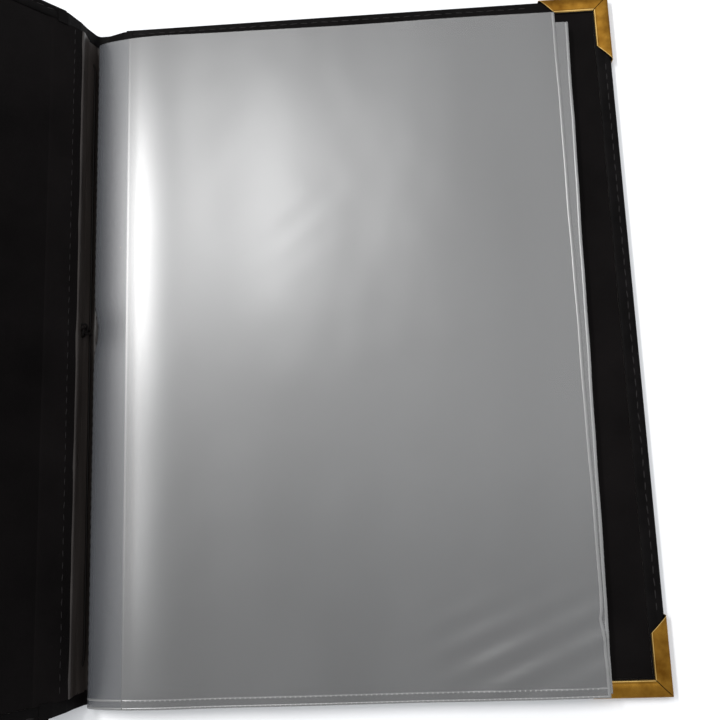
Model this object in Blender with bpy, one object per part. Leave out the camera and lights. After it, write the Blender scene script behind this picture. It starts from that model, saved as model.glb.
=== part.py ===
"""Menu book: two padded-look covers on a soft spine, brass corners and a bound block of clear pocket leaves.

Metres, +Z up. The back cover lies flat with the centre of its underside at the origin, +X runs from the
spine to the fore-edge and +Y to the head of the book. The front cover stands open as in use.
"""

import math

import bmesh
import bpy
from mathutils import Vector

# Clearance between pieces that touch on the real book
GAP = 0.0003

# Covers: a greyboard wrapped in leatherette, lined inside
COVER_W = 0.2325
COVER_H = 0.316
SKIN_T = 0.0011
BOARD_T = 0.0021
LINING_T = 0.0006
TURN_IN = 0.0070
COVER_EDGE_R = 0.0005
COVER_CORNER = 0.0012
LINING_CORNER = 0.0015

# Soft spine: a strip of skin and lining that folds along two lines
BACK_GROOVE = 0.0160
SPINE_W = 0.0165
FRONT_GROOVE = 0.0065
SPINE_RECESS = 0.0015
SPINE_LINING_INSET = 0.0070
FOLD_SETBACK = 0.0004
FOLD_CHAMFER = 0.0004
LINING_SETBACK = 0.0019
SPINE_REST_DEG = 108.0
FRONT_REST_DEG = 128.5

# Brass corners, folded from sheet round the cover's corners
BRASS_T = 0.0004
CORNER_LEG = 0.0320
CORNER_FLAP = 0.0065
MITRE_SLIT = 0.0003

# Clear pocket leaves, bound along the gutter
LEAF_COUNT = 6
FILM_T = 0.00015
POCKET_GAP = 0.0003
LEAF_H = 0.3055
LEAF_TAIL_MARGIN = 0.0010
LEAF_FORE_MARGIN = 0.0262
SECOND_LEAF_SHIFT = 0.0036
UNDER_LEAF_STEP = 0.0004
UNDER_LEAF_DROP = 0.0015
LEAF_SKEW_DEG = 0.95

# Sewn margins that lead each leaf out of the gutter to the crease where it turns
CREASE_IN = 0.0040
CREASE_LIFT = 0.00175
CREASE_PITCH = 0.00105
CREASE_CLEAR = 0.00035
MARGIN_T = 0.0005
ROOT_FIRST = 0.0043
ROOT_PITCH = 0.0016
ARC_STEPS = 12

# Binding strip under the margins, and the knotted tie cord at the foot of the standing spine
STRIP_T = 0.0008
STRIP_OVERHANG = 0.0004
STRIP_INSET = 0.0010
CORD_D = 0.0009
CORD_INSET = 0.0160
CORD_FROM_FOLD = 0.0042
CORD_SIDES = 8
KNOT_Y = 0.0065
KNOT_SIZE = 0.0011
KNOT_RISE = 0.00072
KNOT_BEND = 0.0009
KNOT_CUT = 0.30
KNOT_STEPS = 64
BEND_STEPS = 8

COVER_T = SKIN_T + GAP + BOARD_T + GAP + LINING_T
LEAF_T = 2 * FILM_T + POCKET_GAP
HALF_H = COVER_H / 2
AXIS_Z = SKIN_T / 2
FLOOR_LINING_TOP = SKIN_T + GAP + LINING_T - AXIS_Z
LINING_TOP = COVER_T - AXIS_Z
BRASS_EDGE = GAP + BRASS_T
STRIP_HALF = HALF_H - SPINE_LINING_INSET - STRIP_INSET
CORD_HALF = HALF_H - CORD_INSET
CORNER_CHAMFER = COVER_CORNER + (2 - math.sqrt(2)) * GAP


def clear_scene():
    """Empties the file so that only the book is left."""
    for thing in list(bpy.data.objects):
        bpy.data.objects.remove(thing, do_unlink=True)


def make_material(name, colour, roughness, metallic=0.0, alpha=1.0):
    """One Principled material."""
    material = bpy.data.materials.new(name)
    material.use_nodes = True
    shader = material.node_tree.nodes["Principled BSDF"]
    shader.inputs["Base Color"].default_value = (*colour, 1.0)
    shader.inputs["Roughness"].default_value = roughness
    shader.inputs["Metallic"].default_value = metallic
    shader.inputs["Alpha"].default_value = alpha
    return material


def make_empty(name, location, rotation=(0.0, 0.0, 0.0), parent=None):
    """An empty that carries a body, placed on the axis that the body turns about."""
    empty = bpy.data.objects.new(name, None)
    empty.location = location
    empty.rotation_euler = rotation
    empty.parent = parent
    bpy.context.collection.objects.link(empty)
    return empty


def make_object(name, bm, parent, material=None):
    """Turns a bmesh into a named object on its parent empty, with faces pointing out."""
    bmesh.ops.recalc_face_normals(bm, faces=bm.faces[:])
    mesh = bpy.data.meshes.new(name)
    bm.to_mesh(mesh)
    bm.free()
    thing = bpy.data.objects.new(name, mesh)
    thing.parent = parent
    if material:
        mesh.materials.append(material)
    bpy.context.collection.objects.link(thing)
    return thing


def slab(low, high):
    """A box between two corners."""
    bm = bmesh.new()
    bmesh.ops.create_cube(bm, size=1.0)
    for vert in bm.verts:
        vert.co = [a + (c + 0.5) * (b - a) for a, b, c in zip(low, high, vert.co)]
    return bm


def prism(outline, z_low, z_high, edge=0.0):
    """An outline in X and Y, extruded along Z, with its edges rounded where edge is given."""
    bm = bmesh.new()
    base = bm.faces.new([bm.verts.new((x, y, z_low)) for x, y in outline])
    made = bmesh.ops.extrude_face_region(bm, geom=[base])["geom"]
    raised = [v for v in made if isinstance(v, bmesh.types.BMVert)]
    bmesh.ops.translate(bm, verts=raised, vec=(0.0, 0.0, z_high - z_low))
    if edge:
        bmesh.ops.recalc_face_normals(bm, faces=bm.faces[:])
        bmesh.ops.bevel(bm, geom=bm.edges[:], offset=edge, segments=2, profile=0.5, affect="EDGES")
    return bm


def run(profile, y_low, y_high):
    """A profile in X and Z, extruded along Y."""
    bm = bmesh.new()
    base = bm.faces.new([bm.verts.new((x, y_low, z)) for x, z in profile])
    made = bmesh.ops.extrude_face_region(bm, geom=[base])["geom"]
    moved = [v for v in made if isinstance(v, bmesh.types.BMVert)]
    bmesh.ops.translate(bm, verts=moved, vec=(0.0, y_high - y_low, 0.0))
    return bm


def combine(thing, bm, operation):
    """Cuts a shape out of an object or joins it on, and keeps the shape as a hidden guide."""
    guide = make_object(thing.name + "_guide", bm, thing.parent)
    guide.hide_render = True
    guide.display_type = "WIRE"
    modifier = thing.modifiers.new(operation.lower(), "BOOLEAN")
    modifier.operation = operation
    modifier.solver = "EXACT"
    modifier.object = guide


def chamfered(x_low, x_high, y_half, chamfer):
    """A rectangle about Y = 0 with its four corners cut off."""
    return [
        (x_low + chamfer, -y_half),
        (x_high - chamfer, -y_half),
        (x_high, -y_half + chamfer),
        (x_high, y_half - chamfer),
        (x_high - chamfer, y_half),
        (x_low + chamfer, y_half),
        (x_low, y_half - chamfer),
        (x_low, -y_half + chamfer),
    ]


def fold_edge():
    """X and Z round a skin's edge at the fold line X = 0, thinned so that two skins clear when folded."""
    edge = FOLD_SETBACK + FOLD_CHAMFER
    tip = AXIS_Z - FOLD_CHAMFER
    return [(edge, -AXIS_Z), (FOLD_SETBACK, -tip), (FOLD_SETBACK, tip), (edge, AXIS_Z)]


def at_corner(points, groove, side):
    """Points given inward from the cover's corner on the +Y side (1) or the -Y side (-1)."""
    return [(groove + COVER_W - p, side * (HALF_H - q)) for p, q in points]


def cover_skin(name, parent, groove, material):
    """Leatherette round three edges of the board, with the groove's strip and seats for the brass."""
    start, end = groove, groove + COVER_W
    outline = chamfered(start, end, HALF_H, COVER_CORNER)
    skin = make_object(name, prism(outline, -AXIS_Z, LINING_TOP, COVER_EDGE_R), parent, material)
    beyond = 2 * TURN_IN
    cavity_low = (start - beyond, -HALF_H + SKIN_T, SKIN_T - AXIS_Z)
    cavity_high = (end - SKIN_T, HALF_H - SKIN_T, LINING_TOP - LINING_T)
    combine(skin, slab(cavity_low, cavity_high), "DIFFERENCE")
    window_low = (start - beyond, -HALF_H + TURN_IN, AXIS_Z + BOARD_T / 2)
    window_high = (end - TURN_IN, HALF_H - TURN_IN, LINING_TOP + beyond)
    combine(skin, slab(window_low, window_high), "DIFFERENCE")
    tongue_end = start + TURN_IN
    tongue = fold_edge() + [(tongue_end, AXIS_Z), (tongue_end, -AXIS_Z)]
    combine(skin, run(tongue, SPINE_RECESS - HALF_H, HALF_H - SPINE_RECESS), "UNION")
    reach = CORNER_LEG - BRASS_EDGE + math.sqrt(2) * GAP
    around = TURN_IN
    seat = [(reach + around, -around), (-around, -around), (-around, reach + around)]
    for side in (1, -1):
        recess = prism(at_corner(seat, groove, side), -AXIS_Z - around, BRASS_EDGE - AXIS_Z)
        combine(skin, recess, "DIFFERENCE")
    return skin


def cover_board(name, parent, groove, material):
    """The stiff board inside the skin."""
    inset = SKIN_T + GAP
    low = (groove, -HALF_H + inset, inset - AXIS_Z)
    high = (groove + COVER_W - inset, HALF_H - inset, inset + BOARD_T - AXIS_Z)
    return make_object(name, slab(low, high), parent, material)


def cover_lining(name, parent, groove, material):
    """The inner panel, set inside the turned-in border."""
    border = TURN_IN + GAP
    outline = chamfered(groove, groove + COVER_W - border, HALF_H - border, LINING_CORNER)
    return make_object(name, prism(outline, LINING_TOP - LINING_T, LINING_TOP), parent, material)


def hinge_lining(name, parent, groove, material):
    """The lining strip along the groove, which climbs the board's spine edge."""
    riser_in = groove - GAP - LINING_T
    riser_out = groove - GAP
    floor = FLOOR_LINING_TOP - LINING_T
    profile = [
        (LINING_SETBACK, floor),
        (riser_out, floor),
        (riser_out, LINING_TOP),
        (riser_in, LINING_TOP),
        (riser_in, FLOOR_LINING_TOP),
        (LINING_SETBACK, FLOOR_LINING_TOP),
    ]
    half = HALF_H - SPINE_LINING_INSET
    return make_object(name, run(profile, -half, half), parent, material)


def brass_corner(name, parent, groove, side, material):
    """A folded brass corner: a flush triangle outside, two walls and two mitred flaps inside."""
    low, high = -AXIS_Z, LINING_TOP + BRASS_EDGE
    leg, flap, cut, edge = CORNER_LEG, CORNER_FLAP, CORNER_CHAMFER, BRASS_EDGE
    outer = [(leg, -edge), (cut - edge, -edge), (-edge, cut - edge), (-edge, leg)]
    inner = [(-GAP, leg), (-GAP, cut - GAP), (cut - GAP, -GAP), (leg, -GAP)]
    corner = make_object(name, prism(at_corner(outer + inner, groove, side), low, high), parent, material)
    combine(corner, prism(at_corner(outer, groove, side), low, low + BRASS_T), "UNION")
    reach = leg - flap - edge
    mitre = cut / 2 - edge
    end_flap = [
        (mitre + MITRE_SLIT / 2, mitre - MITRE_SLIT / 2),
        (cut - edge, -edge),
        (leg, -edge),
        (reach, flap),
        (flap + MITRE_SLIT, flap),
    ]
    fore_flap = [(q, p) for p, q in end_flap]
    for points in (end_flap, fore_flap):
        combine(corner, prism(at_corner(points, groove, side), high - BRASS_T, high), "UNION")
    return corner


def make_cover(side_name, parent, groove, head, materials):
    """All pieces of one cover, in the frame of its fold line. head is the sign of Y at the book's head."""
    cover_skin(side_name + "_cover_skin", parent, groove, materials["leatherette"])
    cover_board(side_name + "_board", parent, groove, materials["board"])
    cover_lining(side_name + "_lining", parent, groove, materials["lining"])
    hinge_lining(side_name + "_hinge_lining", parent, groove, materials["spine_strip"])
    brass_corner(side_name + "_corner_head", parent, groove, head, materials["brass"])
    brass_corner(side_name + "_corner_tail", parent, groove, -head, materials["brass"])


def make_spine(parent, materials):
    """The standing strip of the soft spine between the two fold lines."""
    half = HALF_H - SPINE_RECESS
    profile = fold_edge() + [(SPINE_W - x, z) for x, z in fold_edge()[::-1]]
    make_object("spine_skin", run(profile, -half, half), parent, materials["leatherette"])
    half = HALF_H - SPINE_LINING_INSET
    low = (LINING_SETBACK, -half, FLOOR_LINING_TOP - LINING_T)
    high = (SPINE_W - LINING_SETBACK, half, FLOOR_LINING_TOP)
    make_object("spine_lining", slab(low, high), parent, materials["spine_strip"])


def crease_height(leaf):
    """Mid-height of a leaf at its crease. Leaf 1 is the top one."""
    return LINING_TOP + CREASE_LIFT + (LEAF_COUNT - leaf) * CREASE_PITCH


def fore_height(leaf):
    """Mid-height of a leaf at its fore-edge, where the leaves lie one on another over the brass flaps."""
    lowest = LINING_TOP + GAP + BRASS_T + GAP + LEAF_T / 2
    return lowest + (LEAF_COUNT - leaf) * (LEAF_T + GAP)


def crease_axis():
    """X and Z of the line that every leaf turns about, just over the top leaf."""
    return BACK_GROOVE + CREASE_IN, crease_height(1) + LEAF_T / 2 + GAP


def strip_top():
    """Top of the binding strip, which lies on the groove's lining."""
    return FLOOR_LINING_TOP + GAP + STRIP_T


def leaf_tail():
    """Y of the leaves' tail edge."""
    return -HALF_H + LEAF_TAIL_MARGIN


def leaf_margin(leaf, parent, material):
    """The sewn margin of one leaf: a strip that stands in the gutter and curves over to the crease."""
    end_x = BACK_GROOVE + CREASE_IN - CREASE_CLEAR
    root_x = ROOT_FIRST + (leaf - 1) * ROOT_PITCH
    root_z = strip_top() + GAP
    width = end_x - root_x
    height = crease_height(leaf) - root_z
    outer, inner = [], []
    for step in range(ARC_STEPS + 1):
        angle = math.pi / 2 * step / ARC_STEPS
        x = end_x - width * math.cos(angle)
        z = root_z + height * math.sin(angle)
        normal_x = -height * math.cos(angle)
        normal_z = width * math.sin(angle)
        scale = MARGIN_T / 2 / math.hypot(normal_x, normal_z)
        outer.append((x + normal_x * scale, z + normal_z * scale))
        inner.append((x - normal_x * scale, z - normal_z * scale))
    bm = run(outer + inner[::-1], leaf_tail(), leaf_tail() + LEAF_H)
    margin = make_object(f"leaf_{leaf}_margin", bm, parent, material)
    margin.data.shade_smooth()
    margin.data.set_sharp_from_angle(angle=math.radians(40))


def leaf_corners(leaf):
    """The four corners of a leaf's panel. The leaves under the first lie a little askew."""
    axis_x = crease_axis()[0]
    start = axis_x + CREASE_CLEAR
    fore = BACK_GROOVE + COVER_W - LEAF_FORE_MARGIN
    tail, head = leaf_tail(), leaf_tail() + LEAF_H
    if leaf == 1:
        return [(start, tail), (fore, tail), (fore, head), (start, head)]
    slope = math.tan(math.radians(LEAF_SKEW_DEG))
    fore += SECOND_LEAF_SHIFT - (leaf - 2) * UNDER_LEAF_STEP
    head -= UNDER_LEAF_DROP
    tail += UNDER_LEAF_DROP + slope * (fore - start)
    lean = slope * LEAF_H / 2
    drop = slope * (fore - start)
    return [(start, tail), (fore - lean, tail - drop), (fore + lean, head - drop), (start, head)]


def leaf_film(name, leaf, offset, parent, material):
    """One of a pocket's two films. offset is from the leaf's mid-height up to the film's own."""
    axis_x, axis_z = crease_axis()
    corners = leaf_corners(leaf)
    start, far = corners[0][0], BACK_GROOVE + COVER_W - LEAF_FORE_MARGIN
    rise = (fore_height(leaf) - crease_height(leaf)) / (far - start)
    bm = bmesh.new()
    layers = []
    for side in (-FILM_T / 2, FILM_T / 2):
        layer = []
        for x, y in corners:
            z = crease_height(leaf) + rise * (x - start) + offset + side
            layer.append(bm.verts.new((x - axis_x, y, z - axis_z)))
        layers.append(layer)
    below, above = layers
    bm.faces.new(below[::-1])
    bm.faces.new(above)
    for i in range(4):
        j = (i + 1) % 4
        bm.faces.new((below[i], below[j], above[j], above[i]))
    make_object(name, bm, parent, material)


def make_leaves(parent, materials):
    """The leaves from the lowest up. Each one is carried by the leaf under it, about the same crease."""
    axis_x, axis_z = crease_axis()
    offset = (POCKET_GAP + FILM_T) / 2
    carrier = parent
    place = (axis_x, 0.0, axis_z)
    for leaf in range(LEAF_COUNT, 0, -1):
        leaf_margin(leaf, parent, materials["film"])
        carrier = make_empty(f"leaf_{leaf}_crease", place, parent=carrier)
        place = (0.0, 0.0, 0.0)
        leaf_film(f"leaf_{leaf}_front_film", leaf, offset, carrier, materials["film"])
        leaf_film(f"leaf_{leaf}_back_film", leaf, -offset, carrier, materials["film"])


def binding_strip(parent, material):
    """The strip that the margins are sewn to, flat in the gutter."""
    reach = STRIP_OVERHANG + MARGIN_T / 2
    low = (ROOT_FIRST - reach, -STRIP_HALF, FLOOR_LINING_TOP + GAP)
    last = ROOT_FIRST + (LEAF_COUNT - 1) * ROOT_PITCH
    high = (last + reach, STRIP_HALF, strip_top())
    make_object("binding_strip", slab(low, high), parent, material)


def knot_point(turn):
    """A point of a trefoil loop, as Y, X and Z from the knot's centre."""
    y = KNOT_SIZE * (math.sin(turn) + 2 * math.sin(2 * turn))
    x = KNOT_SIZE * (math.cos(turn) - 2 * math.cos(2 * turn))
    return Vector((x, y, -KNOT_RISE * math.sin(3 * turn)))


def cord_end():
    """Half of the straight cord and the bend that leads it up into the knot, seen from the knot's centre."""
    first = knot_point(3 * math.pi - KNOT_CUT)
    ahead = knot_point(3 * math.pi - KNOT_CUT - 0.01) - first
    heading = math.atan2(ahead.x, ahead.y)
    across, along = KNOT_BEND * math.cos(heading), KNOT_BEND * math.sin(heading)
    centre = Vector((first.x + across, first.y - along, 0.0))
    points = []
    for step in range(BEND_STEPS):
        share = step / BEND_STEPS
        turn = heading * share
        x = centre.x - KNOT_BEND * math.cos(turn)
        y = centre.y + KNOT_BEND * math.sin(turn)
        points.append(Vector((x, y, first.z * share - KNOT_RISE * (1 - share))))
    return points


def cord_path():
    """Points along the tie cord: straight up the foot of the spine, with one overhand knot."""
    start = cord_end()
    loop = []
    for step in range(KNOT_STEPS + 1):
        loop.append(knot_point(3 * math.pi - KNOT_CUT - (2 * math.pi - 2 * KNOT_CUT) * step / KNOT_STEPS))
    rise = loop[-1].z
    finish = []
    for step, point in enumerate(start):
        share = step / BEND_STEPS
        finish.append(Vector((point.x, -point.y, rise * share - KNOT_RISE * (1 - share))))
    path = start + loop + finish[::-1]
    centre = Vector((CORD_FROM_FOLD - start[0].x, -KNOT_Y, FLOOR_LINING_TOP + GAP + CORD_D / 2 + KNOT_RISE))
    path = [centre + point for point in path]
    low, high = path[0].copy(), path[-1].copy()
    low.y, high.y = -CORD_HALF, CORD_HALF
    return [low] + path + [high]


def tie_cord(parent, material):
    """The cord that ties the leaves in, as one knotted tube along the foot of the spine."""
    path = cord_path()
    bm = bmesh.new()
    loops = []
    across = Vector((1.0, 0.0, 0.0))
    for i, point in enumerate(path):
        along = (path[min(i + 1, len(path) - 1)] - path[max(i - 1, 0)]).normalized()
        across = (across - along * across.dot(along)).normalized()
        beside = along.cross(across)
        loop = []
        for side in range(CORD_SIDES):
            turn = 2 * math.pi * side / CORD_SIDES
            out = across * math.cos(turn) + beside * math.sin(turn)
            loop.append(bm.verts.new(point + out * CORD_D / 2))
        loops.append(loop)
    for first, second in zip(loops, loops[1:]):
        for i in range(CORD_SIDES):
            j = (i + 1) % CORD_SIDES
            bm.faces.new((first[i], first[j], second[j], second[i]))
    bm.faces.new(loops[0])
    bm.faces.new(loops[-1])
    cord = make_object("tie_cord", bm, parent, material)
    cord.data.shade_smooth()
    cord.data.set_sharp_from_angle(angle=math.radians(60))


def make_materials():
    """The book's finishes."""
    return {
        "leatherette": make_material("black_leatherette", (0.016, 0.015, 0.016), 0.45),
        "lining": make_material("black_lining", (0.022, 0.021, 0.022), 0.70),
        "spine_strip": make_material("spine_strip", (0.030, 0.027, 0.028), 0.35),
        "board": make_material("greyboard", (0.30, 0.28, 0.25), 0.90),
        "brass": make_material("brass", (0.72, 0.52, 0.20), 0.28, metallic=1.0),
        "film": make_material("clear_film", (0.62, 0.63, 0.65), 0.25, alpha=0.6),
        "cord": make_material("black_cord", (0.012, 0.012, 0.012), 0.60),
    }


def main():
    """Builds the book in its open pose."""
    clear_scene()
    materials = make_materials()
    fold_x = -COVER_W / 2 - BACK_GROOVE
    back = make_empty("back_cover", (fold_x, 0.0, AXIS_Z))
    make_cover("back", back, BACK_GROOVE, 1, materials)
    binding_strip(back, materials["spine_strip"])
    make_leaves(back, materials)
    spine_turn = (math.pi, -math.radians(SPINE_REST_DEG), 0.0)
    spine = make_empty("spine_fold", (fold_x, 0.0, AXIS_Z), spine_turn)
    make_spine(spine, materials)
    tie_cord(spine, materials["cord"])
    front_turn = (0.0, math.radians(FRONT_REST_DEG - SPINE_REST_DEG), 0.0)
    front = make_empty("front_fold", (SPINE_W, 0.0, 0.0), front_turn, spine)
    make_cover("front", front, FRONT_GROOVE, -1, materials)


main()
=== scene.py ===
"""Looks of the menu book: leatherette covers, brass corners, clear pocket leaves, stitches and a cord."""

import math
import random

import bmesh
import bpy
import numpy as np
from mathutils import Euler, Matrix, Vector, noise


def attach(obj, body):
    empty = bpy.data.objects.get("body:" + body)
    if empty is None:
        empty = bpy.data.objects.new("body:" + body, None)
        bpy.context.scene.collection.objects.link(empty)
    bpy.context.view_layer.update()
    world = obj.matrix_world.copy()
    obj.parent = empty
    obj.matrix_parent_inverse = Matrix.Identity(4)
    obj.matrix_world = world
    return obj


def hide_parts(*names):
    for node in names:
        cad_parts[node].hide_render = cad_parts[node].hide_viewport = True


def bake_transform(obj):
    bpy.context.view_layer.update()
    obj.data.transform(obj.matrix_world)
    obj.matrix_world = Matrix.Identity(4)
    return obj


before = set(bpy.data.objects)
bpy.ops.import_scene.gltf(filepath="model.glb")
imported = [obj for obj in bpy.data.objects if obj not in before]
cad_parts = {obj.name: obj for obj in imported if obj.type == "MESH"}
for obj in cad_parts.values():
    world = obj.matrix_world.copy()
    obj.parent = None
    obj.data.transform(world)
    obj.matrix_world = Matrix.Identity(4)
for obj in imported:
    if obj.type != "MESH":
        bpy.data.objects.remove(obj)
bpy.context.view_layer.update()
dice = random.Random(7)

# Sizes of the solids, in metres
COVER_W, COVER_H, COVER_T = 0.2325, 0.316, 0.0044
SKIN_T, LINING_T, GAP = 0.0011, 0.0006, 0.0003
TURN_IN = 0.0070
BACK_GROOVE, SPINE_W, FRONT_GROOVE = 0.0160, 0.0165, 0.0065
SPINE_RECESS, SPINE_LINING_INSET = 0.0015, 0.0070
SPINE_REST, FRONT_REST = math.radians(108.0), math.radians(128.5)
CORNER_LEG, CORNER_FLAP = 0.0320, 0.0065
LEAF_COUNT = 6
FILM_T, LEAF_T = 0.00015, 0.0006
LEAF_H, LEAF_TAIL_MARGIN, LEAF_FORE_MARGIN = 0.3055, 0.0010, 0.0262
SECOND_LEAF_SHIFT, UNDER_LEAF_STEP, UNDER_LEAF_DROP = 0.0036, 0.0004, 0.0015
LEAF_SKEW = math.tan(math.radians(0.95))
BRASS_EDGE = 0.0007
CREASE_IN, CREASE_LIFT, CREASE_PITCH = 0.0040, 0.00175, 0.00105
ROOT_FIRST, ROOT_PITCH, STRIP_T = 0.0043, 0.0016, 0.0008

# Sizes of the covers' fine shapes
EDGE_R, WRAP_EDGE, WRAP_LAP, WRAP_IN = 0.0014, 0.0018, 0.0002, 0.040
COVER_CORNER_R, LEAST_R = 0.0026, 0.0002
SEW_OUT_W, SEW_OUT_DENT, SEW_IN_W, SEW_IN_DENT = 0.0006, 0.00016, 0.0007, 0.00018
PANEL_SOFT, PANEL_GAP = 0.0003, 0.0001
STITCH_IN, STITCH_PITCH, STITCH_L, STITCH_W = 0.0030, 0.0050, 0.0034, 0.0006
STITCH_SINK, STITCH_CLEAR = 0.00008, 0.001
GUARD_R, GUARD_BOW, GUARD_T, GUARD_RIM = 0.0010, 0.00022, 0.00038, 0.0009
MITRE_GAP, MITRE_START, MITRE_RUN = 0.00024, 0.0002, 0.0008
PLATE_IN, PLATE_SHORT, PLATE_SLANT = 0.0004, 0.0002, 2.4
# Widths of the painted highlight on the guards' inner rims and slanted ends
RIM_HIGHLIGHT_FLAP, RIM_HIGHLIGHT_SLANT = 0.0007, 0.0012

# Sizes of the soft spine's fine shapes
FOLD_REACH, FOLD_STEP = 0.0030, 0.0007
SKIN_LAP, STRIP_LAP, STRIP_STEP, STRIP_RIPPLE = 0.0010, 0.0022, 0.0008, 0.00010
ROLL_X, ROLL_RISE, ROLL_RUN, ROLL_END_X, ROLL_END_Z = 0.0145, 0.0026, 0.0062, 0.0002, 0.0016
END_LAP_BACK, END_TOP_BACK, END_FOOT_BACK = 0.0030, 0.0012, 0.0095
END_LAP_FRONT, END_TOP_FRONT, END_RUN, END_RISE = 0.0040, 0.0008, 0.0050, 0.25
TURN_T, TURN_OVERLAP, TURN_SINK = 0.0006, 0.0006, 0.0001
APRON_STITCH, APRON_T, APRON_SINK, APRON_STEP = 0.0018, 0.0005, 0.00025, 0.0010
APRON_LAP, APRON_TUCK_X, APRON_TUCK_Z, APRON_STITCH_LIFT = 0.0060, 0.0090, 0.0004, 0.00012

# Sizes of the leaves' fine shapes, with rates per metre
HUMP, HUMP_AT = 0.0010, 0.0180
WAVE, WAVE_L, WAVE_START, WAVE_FADE = 0.00030, 0.105, 0.035, 0.03
RIPPLE, RIPPLE_RATE = 0.00006, (70, 55)
FOLD_RISE, FOLD_RATE, FOLD_SLANT, FOLD_AT, FOLD_SPREAD = 0.00003, 370, 0.75, (0.090, 0.052), (0.020, 0.022)
CRINKLE, CRINKLE_RATE, CRINKLE_SLANT = 0.00036, 520, 0.42
CRINKLE_IN, CRINKLE_SPREAD, CRINKLE_BEAT = (0.024, 0.017), (0.036, 0.017), (95, 60)
CREASE_LAP, CREASE_BEND_BACK, CREASE_BEND_FORE = 0.0004, 0.0008, 0.0060
EDGE_WAVES = ((0.00010, 71, 1), (0.00006, 173, 2))
NICK, NICK_UP, NICK_W = 0.0009, 0.031, 0.0035
CREASE_SHARE, CREASE_COLUMNS = 0.012, 16
SEAM_APART, POCKET_APART, SEAM_IN, SEAM_BAND = 0.00009, 0.000135, 0.001, 0.0045
RIM_W, RIM_T, WELD_LIFT, WELD_END = 0.0013, 0.00016, 0.00012, 0.002
TAIL_BEADS, BEAD_W = (0.0006, 0.0038), 0.0009
SEAM_ROWS = ((0.0007, 0.0021, 0.00055), (0.0037, 0.0021, 0.00060))
PIP_RINGS = ((0.5, -0.00006), (0.42, 0.00006), (0.22, 0.00013))
MARGIN_T, MARGIN_BULGE, MARGIN_BELLY, MARGIN_CURVE = 0.0003, 0.0011, 0.0024, 2.4
KNOT_DENT, KNOT_DENT_W = 1.8, 0.0082
SEWING_PITCH, SEWING_L, SEWING_W, SEWING_END, SEWING_LIFT = 0.0041, 0.0021, 0.0005, 0.006, 0.00016

# Sizes of the cord
KNOT_Y, KNOT_SIZE, KNOT_RISE, KNOT_CUT, KNOT_BEND = 0.0065, 0.0011, 0.00072, 0.30, 0.0009
CORD_R, CORD_X, CORD_INSET = 0.00045, 0.0042, 0.0160
CORD_DIVE, CORD_SINK = 0.0070, 0.0017

HALF_H = COVER_H / 2
AXIS_Z = SKIN_T / 2
LINING_TOP = COVER_T - AXIS_Z
FLOOR_TOP = SKIN_T + GAP + LINING_T - AXIS_Z
FOLD_X = -COVER_W / 2 - BACK_GROOVE
TAIL_Y = -HALF_H + LEAF_TAIL_MARGIN

BACK = Matrix.Translation((FOLD_X, 0.0, AXIS_Z))
SPINE = BACK @ Euler((math.pi, -SPINE_REST, 0.0)).to_matrix().to_4x4()
FRONT = SPINE @ Matrix.Translation((SPINE_W, 0.0, 0.0)) @ Matrix.Rotation(FRONT_REST - SPINE_REST, 4, "Y")


# Mesh helpers


def make_piece(name, verts, faces, material, sharp=None):
    """A mesh object from points and faces, with its faces pointing out."""
    mesh = bpy.data.meshes.new(name)
    mesh.from_pydata([tuple(v) for v in verts], [], [tuple(f) for f in faces])
    mesh.validate()
    shape = bmesh.new()
    shape.from_mesh(mesh)
    bmesh.ops.recalc_face_normals(shape, faces=shape.faces[:])
    shape.to_mesh(mesh)
    shape.free()
    mesh.materials.append(material)
    mesh.shade_smooth()
    if sharp:
        mesh.set_sharp_from_angle(angle=math.radians(sharp))
    piece = bpy.data.objects.new(name, mesh)
    bpy.context.collection.objects.link(piece)
    return piece


def moved(points, matrix):
    """Points carried from a local frame to the book's frame."""
    return [matrix @ Vector(p) for p in points]


def joined(bodies):
    """One list of points and one of faces from several (points, faces) bodies."""
    verts, faces = [], []
    for points, sides in bodies:
        start = len(verts)
        verts += points
        faces += [tuple(start + i for i in side) for side in sides]
    return verts, faces


def make_mixed(name, groups, matrix):
    """A piece from (bodies, material) groups, so that it is one object with several materials."""
    verts, faces = joined([body for bodies, material in groups for body in bodies])
    piece = make_piece(name, moved(verts, matrix), faces, groups[0][1], sharp=50)
    marks = []
    for index, (bodies, material) in enumerate(groups):
        if index:
            piece.data.materials.append(material)
        marks += [index] * sum(len(sides) for points, sides in bodies)
    for face, mark in zip(piece.data.polygons, marks):
        face.material_index = mark
    return piece


def bead(path, side, width, rise):
    """A low rounded bead along a path on a film. Side points across the path."""
    section = ((-0.5, -0.1), (-0.35, 0.7), (0.0, 1.0), (0.35, 0.7), (0.5, -0.1), (0.0, -0.5))
    size = len(section)
    verts, faces = [], []
    for i, point in enumerate(path):
        along = (path[min(i + 1, len(path) - 1)] - path[max(i - 1, 0)]).normalized()
        up = side.cross(along)
        verts += [point + side * across * width + up * high * rise for across, high in section]
    for i in range(len(path) - 1):
        for j in range(size):
            a, b = i * size + j, i * size + (j + 1) % size
            faces.append((a, b, b + size, a + size))
    faces.append(tuple(range(size - 1, -1, -1)))
    faces.append(tuple(range(len(verts) - size, len(verts))))
    return verts, faces


def sheet_faces(rows, columns):
    """Faces of a closed sheet whose points are an upper grid and then a lower grid."""
    count = rows * columns
    faces = []
    for r in range(rows - 1):
        for c in range(columns - 1):
            a = r * columns + c
            b, d, e = a + 1, a + columns, a + columns + 1
            faces.append((a, b, e, d))
            faces.append((count + a, count + d, count + e, count + b))
    rim = [c for c in range(columns)]
    rim += [r * columns + columns - 1 for r in range(1, rows)]
    rim += [(rows - 1) * columns + c for c in range(columns - 2, -1, -1)]
    rim += [r * columns for r in range(rows - 2, 0, -1)]
    for a, b in zip(rim, rim[1:] + rim[:1]):
        faces.append((b, a, count + a, count + b))
    return faces


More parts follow.
